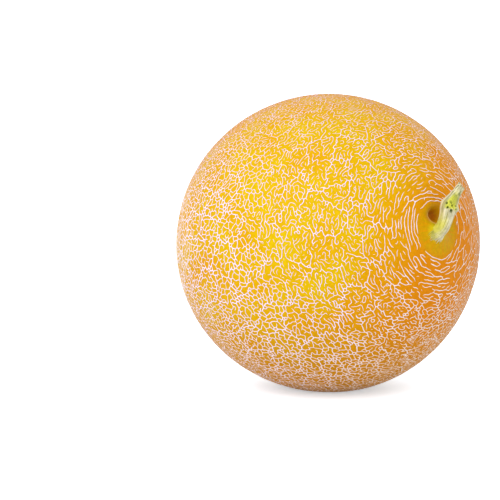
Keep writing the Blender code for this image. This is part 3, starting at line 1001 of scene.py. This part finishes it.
# Shares of the length where it begins, is full, still is full and ends
NEAR_KNOB = (0.60, 0.65, 0.72, 0.80)
CORE_TURN = math.radians(55)
CORE_RANGE = (0.52, 0.80)
CORE_FADE = (0.86, 0.95)
CORE_DEPTH = 0.32
HOLE_SPOTS = (0.20, 0.34)
HOLE_FACING = (0.2, 0.5)
HOLE_DEPTH = 0.20
FRAYED_RANGE = (0.84, 0.95)
FRAYED_SPOTS = (0.08, 0.28)
FLAP_PLACE = (0.70, 0.06)
FLAP_TURN = math.radians(165)
FLAP_RANGE = (0.1, 0.9)
FOOT_RANGE = (0.40, 0.66)
FOOT_TURN = math.radians(-15)
FOOT_FACING = (-0.2, 0.7)
TIP_RANGE = (0.92, 1.0)
TIP_RAGGED = 0.0012


def route_points(shares, body):
    """Places in the fruit's frame and radii at shares of the stem's length, on a smooth line."""
    route = np.array(STEM_ROUTE)
    at = np.clip(shares, 0, 1) * (len(route) - 1)
    k = np.minimum(at.astype(int), len(route) - 2)
    t = (at - k)[:, None]
    before, near = route[np.maximum(k - 1, 0)], route[k]
    far, after = route[k + 1], route[np.minimum(k + 2, len(route) - 1)]
    smooth = 2 * near + (far - before) * t + (2 * before - 5 * near + 4 * far - after) * t**2
    smooth = (smooth + (3 * near - before - 3 * far + after) * t**3) / 2
    places = np.column_stack([-smooth[:, 1], smooth[:, 2], body.half + smooth[:, 0]])
    return places, smooth[:, 3]


def stem_axes(shares, body):
    """Direction of the stem at each share, and two axes across it. The first points sideways."""
    ahead, _ = route_points(shares + STEM_STEP, body)
    behind, _ = route_points(shares - STEM_STEP, body)
    along = unit(ahead - behind)
    sideways = np.array(SIDEWAYS)
    side = unit(sideways - along * (along @ sideways)[:, None])
    return along, side, np.cross(along, side)


def stem_places(shares, turns, scales):
    """Places for noise on the stem, from the scales round it and along it."""
    round_it, along_it = scales
    return np.column_stack([np.cos(turns) * round_it, np.sin(turns) * round_it, shares * along_it])


def stem_surface(shares, turns, body):
    """Points of the stem in the world and the masks that its material reads."""
    places, radius = route_points(shares, body)
    along, side, out = stem_axes(shares, body)
    fine = stem_places(shares, turns, FIBRE_SCALES)
    wobble = rough_noise(stem_places(shares, turns, GRAIN_SCALES), 4)
    fibre = rough_noise(fine, 9)
    spots = rough_noise(stem_places(shares, turns, SPOT_SCALES), 12)
    ribs = 0.5 + 0.5 * np.cos(RIBS * turns + 2.2 * np.sin(3 * shares) + 2.5 * wobble)
    knob = smoothstep(*KNOB_RANGE, shares + 0.025 * fibre + 0.01 * wobble)
    facing = smoothstep(*CORE_RANGE, np.cos(turns - CORE_TURN) + 0.20 * fibre + 0.15 * wobble)
    core = knob * facing
    near_knob = smoothstep(*NEAR_KNOB[:2], shares) * fade(*NEAR_KNOB[2:], shares)
    # Painted shade in dark holes round the knob, where the stem also sinks a little
    hole = smoothstep(*HOLE_SPOTS, spots) * near_knob * smoothstep(*HOLE_FACING, facing)
    flap = hill((shares - FLAP_PLACE[0]) / FLAP_PLACE[1])
    flap = flap * smoothstep(*FLAP_RANGE, np.cos(turns - FLAP_TURN))
    scale = 1 + 0.05 * (ribs - 0.5) + 0.06 * wobble + 0.08 * fibre - CORE_DEPTH * core - HOLE_DEPTH * hole
    scale += flap * (0.08 + 0.30 * fibre)
    scale += 0.10 * near_knob * (1 - facing) * np.maximum(spots, 0)
    radius = radius * scale
    surface = places + side * (radius * np.cos(turns))[:, None] + out * (radius * np.sin(turns))[:, None]
    ragged = rough_noise(fine * TIP_GRAIN, 2) + 0.5 * np.cos(turns + 1)
    surface += along * (TIP_RAGGED * smoothstep(*TIP_RANGE, shares) * ragged)[:, None]
    frayed = smoothstep(*FRAYED_RANGE, shares) * smoothstep(*FRAYED_SPOTS, spots)
    foot = fade(*FOOT_RANGE, shares) * smoothstep(*FOOT_FACING, np.cos(turns - FOOT_TURN))
    # The hole mask lays painted shade in the holes and at the frayed tip
    masks = {"rib": np.clip(0.40 * ribs + 0.42 + 1.5 * fibre, 0, 1),
             "core": 0.85 * core * fade(*CORE_FADE, shares + 0.03 * fibre),
             "hole": np.maximum(hole, 0.8 * frayed), "foot": 0.8 * foot}
    return body.to_world(surface), masks


class MELON_OT_stem(bpy.types.Operator):
    """Adds the stem stub: a ball drawn out along the stem's line, ribbed, torn open above the knob."""

    bl_idname = "melon.stem"
    bl_label = "Stem"

    def execute(self, context):
        sizes, colours = context.scene.melon_sizes, context.scene.melon_colours
        body = Body(sizes)
        stem, level, turns = add_ball("melon_stem", STEM_SEGMENTS, STEM_RINGS)
        shares = np.interp(1 - level, STEM_CAPS, [0.0, 0.0, 1.0, STEM_END])
        closing = np.interp(1 - level, STEM_CAPS, [0.0, 1.0, 1.0, 0.0])
        surface, masks = stem_surface(shares, turns, body)
        places = body.to_world(route_points(shares, body)[0])
        write_points(stem.data, places + (surface - places) * closing[:, None])
        paint(stem.data, **masks)
        stem.data.materials.append(stem_material(colours))
        stem.data.shade_smooth()
        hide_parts("stem")
        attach(stem, "root")
        return {"FINISHED"}


# Loose fibres at the stem's foot

STRANDS = 30
STRAND_SIDES = 6
STRAND_STEPS = 9
# Degrees round the stem, at the first strand and from there to the last
STRAND_TURNS = (175, -180)
STRAND_TWIST = 0.25
STRAND_TOP = (0.52, 0.10)
STRAND_LEAVES = 0.27
STRAND_LIFT = 1.01
# Degrees over the skin at the fan's middle and across the fan, the share at its middle, and the stray
STRAND_BEARING = (-36, -34, 0.4, 0.10)
STRAND_REACH = (0.0014, 0.0022)
STRAND_FALL = -0.25
STRAND_CLEAR = 0.00008
STRAND_LIES = 0.0001
STRAND_THICK = 0.00026
STRAND_THIN = 0.00005


def strand_lines(body, rng):
    """Middle lines and radii of bark fibres that run down the stem's foot and splay over the skin."""
    lines = []
    steps = np.linspace(0, 1, STRAND_STEPS)
    for strand in range(STRANDS):
        spread = (strand + rng.random()) / STRANDS
        turn = math.radians(STRAND_TURNS[0] + STRAND_TURNS[1] * spread) + STRAND_TWIST * steps * rng.normal()
        top = STRAND_TOP[0] - STRAND_TOP[1] * rng.random()
        shares = top * (1 - steps) + STRAND_LEAVES * steps
        places, radius = route_points(shares, body)
        _, side, out = stem_axes(shares, body)
        around = side * np.cos(turn)[:, None] + out * np.sin(turn)[:, None]
        on_stem = places + STRAND_LIFT * radius[:, None] * around
        middle, fan, fan_middle, stray = STRAND_BEARING
        bearing = math.radians(middle + fan * (spread - fan_middle)) + rng.normal(0, stray)
        reach = STRAND_REACH[0] + STRAND_REACH[1] * rng.random()
        off = np.outer(steps[1:], [math.cos(bearing), math.sin(bearing), STRAND_FALL]) * reach
        line = np.concatenate([on_stem, on_stem[-1] + off])
        ways = line / body.radii
        ground = body.half * np.sqrt(1 - ways[:, 0] ** 2 - ways[:, 1] ** 2)
        ground = ground + body.relief(line[:, 0], line[:, 1])
        line[:, 2] = np.maximum(line[:, 2], ground + STRAND_CLEAR)
        hangs = line[len(steps):, 2] - ground[len(steps):] - STRAND_LIES
        line[len(steps):, 2] -= smoothstep(0, 0.5, steps[1:]) * hangs
        run = np.linspace(0, 1, len(line))
        taper = np.sqrt(np.minimum(run * 6, 1)) * (1 - 0.8 * run**2)
        thick = STRAND_THICK * taper * (0.7 + 0.5 * rng.random())
        lines.append((line, np.maximum(thick, STRAND_THIN)))
    return lines


def tube_mesh(lines, body):
    """Points, faces and shares along the length of closed round tubes that follow lines."""
    points, quads, ends, shares = [], [], [], []
    turns = np.arange(STRAND_SIDES) * 2 * np.pi / STRAND_SIDES
    cos, sin = np.cos(turns)[None, :, None], np.sin(turns)[None, :, None]
    for places, thick in lines:
        base = sum(len(block) for block in points)
        along = unit(np.gradient(places, axis=0))
        helper = unit(np.cross(along, [0.0, 0.0, 1.0]))
        ring = cos * helper[:, None] + sin * np.cross(along, helper)[:, None]
        points.append((places[:, None] + ring * thick[:, None, None]).reshape(-1, 3))
        last = base + (len(places) - 1) * STRAND_SIDES
        for low in range(base, last, STRAND_SIDES):
            high = low + STRAND_SIDES
            for k in range(STRAND_SIDES):
                after = (k + 1) % STRAND_SIDES
                quads.append((low + k, low + after, high + after, high + k))
        for k in range(1, STRAND_SIDES - 1):
            ends.append((base, base + k + 1, base + k))
            ends.append((last, last + k, last + k + 1))
        shares.append(np.repeat(np.linspace(0, 1, len(places)), STRAND_SIDES))
    return body.to_world(np.concatenate(points)), np.array(quads), np.array(ends), np.concatenate(shares)


class MELON_OT_strands(bpy.types.Operator):
    """Adds the loose bark fibres that splay from the stem's foot over the skin."""

    bl_idname = "melon.strands"
    bl_label = "Stem fibres"

    def execute(self, context):
        body = Body(context.scene.melon_sizes)
        rng = np.random.default_rng(context.scene.melon_sizes.seed + 1)
        points, quads, ends, shares = tube_mesh(strand_lines(body, rng), body)
        piece = add_piece("melon_stem_fibres", points, quads, ends, bpy.data.materials["melon_stem"])
        green = 0.8 * smoothstep(0.45, 0.95, np.linspace(0, 1, len(points)))
        paint(piece.data, rib=np.clip(0.6 + 0.5 * shares, 0, 1), foot=green)
        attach(piece, "root")
        return {"FINISHED"}


# Stage: floor, lights and camera

CAMERA_TURN = math.radians(44)
CAMERA_RISE = math.radians(7)
CAMERA_REACH = 50
FRAME_PIXELS = 500
FRUIT_PIXELS = 149.5
FRUIT_AT = (327.6, 243.0)
SENSOR = 36.0
FLOOR_SIZE = 40.0
FLOOR_CLOUDS = ((0.40, 0.40, 0.40), 0.05)
# Painted light of the floor: the glow's tint, its strength for other surfaces and for the camera, and the
# reach of its painted shadow round the fruit
GLOW_COLOUR = (0.91, 1.0, 1.07)
GLOW_LIGHT = 0.14
GLOW_SEEN = (0.33, 0.54)
PAINTED_SHADOW_REACH = (0.010, 0.050)
AMBIENT = 0.72
KEY_WAY = (-0.377, 0.566, 0.736)
KEY_ENERGY = 1.0
KEY_ANGLE = math.radians(60)


def camera_axes():
    """Unit directions from the fruit to the camera, to the picture's right and up."""
    back = Vector((math.sin(CAMERA_TURN) * math.cos(CAMERA_RISE),
                   -math.cos(CAMERA_TURN) * math.cos(CAMERA_RISE), math.sin(CAMERA_RISE)))
    right = Vector((0, 0, 1)).cross(back).normalized()
    return back, right, back.cross(right)


class MELON_OT_stage(bpy.types.Operator):
    """Adds the pale floor, the soft studio light and the camera."""

    bl_idname = "melon.stage"
    bl_label = "Stage"

    def execute(self, context):
        sizes, colours = context.scene.melon_sizes, context.scene.melon_colours
        deselect_all()
        bpy.ops.mesh.primitive_plane_add(size=FLOOR_SIZE)
        floor = context.object
        floor.name = "studio_floor"
        floor.data.materials.append(self.floor_material(colours))
        axes = camera_axes()
        self.add_light(context, *axes)
        self.add_camera(context, sizes, *axes)
        context.scene.view_settings.view_transform = "Standard"
        context.scene.view_settings.look = "Medium High Contrast"
        return {"FINISHED"}

    def floor_material(self, colours):
        """The floor glows as painted light, a little for other surfaces and more for the camera, and dimmer
        near the fruit as a painted shadow.
        """
        material, nodes, shader, mottle = new_material("studio_floor", 2.0, 40.0)
        cloud_colour, cloud_share = FLOOR_CLOUDS
        clouds = nodes.math("MULTIPLY", mottle["Cloud"], cloud_share)
        nodes.feed(shader.inputs["Base Color"], nodes.mix(clouds, colours.floor, cloud_colour))
        shader.inputs["Roughness"].default_value = 0.6
        shader.inputs["Specular IOR Level"].default_value = 0.1
        shader.inputs["Emission Color"].default_value = (*GLOW_COLOUR, 1)
        places = nodes.add("ShaderNodeTexCoord").outputs["Object"]
        away = nodes.add("ShaderNodeVectorMath", {0: places}, operation="LENGTH").outputs["Value"]
        # Painted shadow: the glow grows from the fruit outwards
        painted_glow = nodes.for_camera(nodes.spread(away, *PAINTED_SHADOW_REACH, *GLOW_SEEN), GLOW_LIGHT)
        nodes.feed(shader.inputs["Emission Strength"], painted_glow)
        return material

    def add_light(self, context, back, right, up):
        world = bpy.data.worlds.new("studio")
        context.scene.world = world
        world.use_nodes = True
        nodes = Nodes(world.node_tree)
        background = world.node_tree.nodes["Background"]
        nodes.feed(background.inputs["Color"], (1, 1, 1))
        nodes.feed(background.inputs["Strength"], nodes.for_camera(1, AMBIENT))
        way = (right * KEY_WAY[0] + up * KEY_WAY[1] + back * KEY_WAY[2]).normalized()
        bpy.ops.object.light_add(type="SUN", rotation=way.to_track_quat("Z", "Y").to_euler())
        key = context.object
        key.name = "key"
        key.data.energy = KEY_ENERGY
        key.data.angle = KEY_ANGLE

    def add_camera(self, context, sizes, back, right, up):
        """Adds the camera so that the fruit has its size and its place in the photo's frame."""
        middle = Body(sizes).matrix.translation
        distance = sizes.camera_distance
        spread = math.tan(math.asin(sizes.diameter / 2 / distance))
        lens = FRUIT_PIXELS * SENSOR / FRAME_PIXELS / spread
        pixel = distance * SENSOR / FRAME_PIXELS / lens
        aside = (FRUIT_AT[0] - FRAME_PIXELS / 2) * pixel
        above = (FRAME_PIXELS / 2 - FRUIT_AT[1]) * pixel
        place = middle + back * distance
        aim = middle - right * aside - up * above
        bpy.ops.object.camera_add(location=place, rotation=(aim - place).to_track_quat("-Z", "Y").to_euler())
        camera = context.object
        camera.name = "photo_camera"
        camera.data.lens = lens
        camera.data.sensor_width = SENSOR
        camera.data.clip_end = CAMERA_REACH
        context.scene.camera = camera


class MELON_PT_panel(bpy.types.Panel):
    """Lists the steps, the sizes and the colours in the sidebar."""

    bl_idname = "MELON_PT_panel"
    bl_label = "Netted melon"
    bl_space_type = "VIEW_3D"
    bl_region_type = "UI"
    bl_category = "Melon"

    def draw(self, context):
        for step in STEPS:
            self.layout.operator(step.bl_idname)
        for group in (context.scene.melon_sizes, context.scene.melon_colours):
            for name in group.__annotations__:
                self.layout.prop(group, name)


STEPS = (MELON_OT_skin, MELON_OT_net, MELON_OT_stem, MELON_OT_strands, MELON_OT_stage)
CLASSES = (MelonSizes, MelonColours, *STEPS, MELON_PT_panel)


def register():
    for item in CLASSES:
        bpy.utils.register_class(item)
    bpy.types.Scene.melon_sizes = PointerProperty(type=MelonSizes)
    bpy.types.Scene.melon_colours = PointerProperty(type=MelonColours)


def unregister():
    del bpy.types.Scene.melon_colours
    del bpy.types.Scene.melon_sizes
    for item in reversed(CLASSES):
        bpy.utils.unregister_class(item)


def main():
    register()
    bpy.ops.melon.skin()
    bpy.ops.melon.net()
    bpy.ops.melon.stem()
    bpy.ops.melon.strands()
    bpy.ops.melon.stage()
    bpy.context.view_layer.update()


if __name__ == "__main__":
    main()
